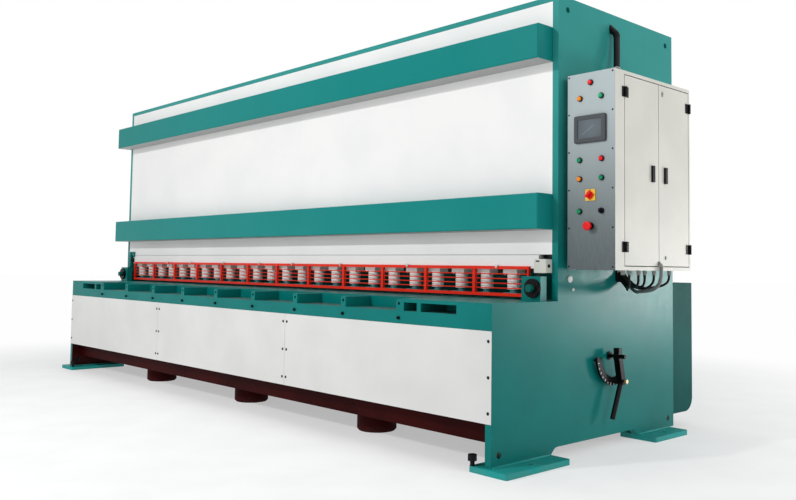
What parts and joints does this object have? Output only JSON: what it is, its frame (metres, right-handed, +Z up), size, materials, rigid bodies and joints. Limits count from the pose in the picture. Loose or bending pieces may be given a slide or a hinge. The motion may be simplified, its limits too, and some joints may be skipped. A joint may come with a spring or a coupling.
{
  "type": "hydraulic shearing machine",
  "caption": "Hydraulic guillotine shear with teal frame, white covers, red finger guard, side cabinet and blade gap lever.",
  "frame": {"origin": "on the floor at the centre of the four anchor holes in the feet", "axes": "+X along the machine to the operator's right, +Y from the operator to the rear, +Z up"},
  "size_m": [5.871, 2.133, 2.564],
  "materials": {
    "teal_paint": "semi-gloss teal enamel",
    "white_paint": "satin white enamel",
    "panel_white": "satin white enamel on sheet",
    "guard_red": "gloss red enamel",
    "primer_maroon": "matt maroon primer",
    "cabinet_grey": "fine textured powder coat",
    "panel_grey": "satin metal sheet",
    "black_plastic": "black moulding",
    "black_steel": "blackened steel",
    "blade_steel": "ground tool steel",
    "cylinder_white": "white enamel, oiled",
    "foot_teal": "teal enamel pads",
    "lens": "coloured lenses",
    "red_plastic": "red cap",
    "green_plastic": "green cap",
    "orange_plastic": "orange cap",
    "yellow_plastic": "yellow plate",
    "screen_bezel": "dark grey bezel with glass",
    "cable_black": "black cable sheath",
    "cable_grey": "grey cable sheath",
    "gland_grey": "grey cable glands"
  },
  "bodies": {
    "machine": {"bed_end_blocks": "teal_paint", "bed_girder": "primer_maroon", "bed_pads": "primer_maroon", "bed_ribs": "teal_paint", "blade_beam": "teal_paint", "cabinet_shell": "cabinet_grey", "cable_drive": "cable_black", "cable_feed": "cable_black", "cable_glands": "gland_grey", "cable_grey": "cable_grey", "cable_motor": "cable_black", "cable_sensor": "cable_black", "cable_valve": "cable_black", "chute_housing": "teal_paint", "clamp_beam": "white_paint", "conduit_fittings": "black_plastic", "control_bezels": "black_plastic", "control_panel": "panel_grey", "end_dials": "black_steel", "feet": "teal_paint", "front_cover": "white_paint", "front_panel_left": "panel_white", "front_panel_middle": "panel_white", "front_panel_right": "panel_white", "front_rail": "teal_paint", "gap_quadrant": "black_steel", "guard_end_blocks": "teal_paint", "guard_frame": "guard_red", "guard_rods": "guard_red", "hinge_leaves": "black_plastic", "hold_down_cylinders": "cylinder_white", "hold_down_feet": "foot_teal", "lamps": "lens", "left_side_frame": "teal_paint", "levelling_bolts": "black_steel", "limit_switch": "cabinet_grey", "lower_beam": "teal_paint", "lower_blade": "blade_steel", "main_switch_plate": "yellow_plastic", "rear_cover": "teal_paint", "right_side_frame": "teal_paint", "table_top": "teal_paint", "top_conduit": "cable_black", "top_plate": "teal_paint", "touch_screen": "screen_bezel", "upper_beam": "teal_paint", "upper_blade": "blade_steel"},
    "door_front": {"door_front": "cabinet_grey", "door_front_fittings": "black_plastic"},
    "door_rear": {"door_rear": "cabinet_grey", "door_rear_fittings": "black_plastic"},
    "gap_lever": {"gap_lever": "black_steel"},
    "main_switch": {"main_switch_knob": "red_plastic"},
    "selector": {"selector_knob": "black_plastic"},
    "stop_button": {"stop_button": "red_plastic"},
    "button_feed": {"button_feed": "green_plastic"},
    "button_halt": {"button_halt": "red_plastic"},
    "button_light": {"button_light": "orange_plastic"},
    "button_pump": {"button_pump": "green_plastic"},
    "button_reset": {"button_reset": "green_plastic"}
  },
  "joints": [
    {"name": "door_front_hinge", "type": "hinge", "parent": "machine", "child": "door_front", "pos_m": [3.037, -0.2095, 1.566], "axis": [0, 0, -1], "range_deg": [0, 110]},
    {"name": "door_rear_hinge", "type": "hinge", "parent": "machine", "child": "door_rear", "pos_m": [3.037, 0.4745, 1.566], "axis": [0, 0, 1], "range_deg": [0, 110]},
    {"name": "gap_lever_pivot", "type": "hinge", "parent": "machine", "child": "gap_lever", "pos_m": [2.734, 0.152, 0.525], "axis": [-1, 0, 0], "range_deg": [0, 84]},
    {"name": "main_switch_turn", "type": "hinge", "parent": "machine", "child": "main_switch", "pos_m": [2.8765, -0.322, 1.428], "axis": [0, 1, 0], "range_deg": [0, 90]},
    {"name": "selector_turn", "type": "hinge", "parent": "machine", "child": "selector", "pos_m": [2.9465, -0.322, 1.341], "axis": [0, 1, 0], "range_deg": [-45, 45]},
    {"name": "stop_push", "type": "slide", "parent": "machine", "child": "stop_button", "axis": [0, 1, 0], "range_m": [0, 0.006]},
    {"name": "button_feed_push", "type": "slide", "parent": "machine", "child": "button_feed", "axis": [0, 1, 0], "range_m": [0, 0.003], "stiffness_N_per_m": 600, "springref_m": -0.002},
    {"name": "button_halt_push", "type": "slide", "parent": "machine", "child": "button_halt", "axis": [0, 1, 0], "range_m": [0, 0.003], "stiffness_N_per_m": 600, "springref_m": -0.002},
    {"name": "button_light_push", "type": "slide", "parent": "machine", "child": "button_light", "axis": [0, 1, 0], "range_m": [0, 0.003], "stiffness_N_per_m": 600, "springref_m": -0.002},
    {"name": "button_pump_push", "type": "slide", "parent": "machine", "child": "button_pump", "axis": [0, 1, 0], "range_m": [0, 0.003], "stiffness_N_per_m": 600, "springref_m": -0.002},
    {"name": "button_reset_push", "type": "slide", "parent": "machine", "child": "button_reset", "axis": [0, 1, 0], "range_m": [0, 0.003], "stiffness_N_per_m": 600, "springref_m": -0.002}
  ]
}
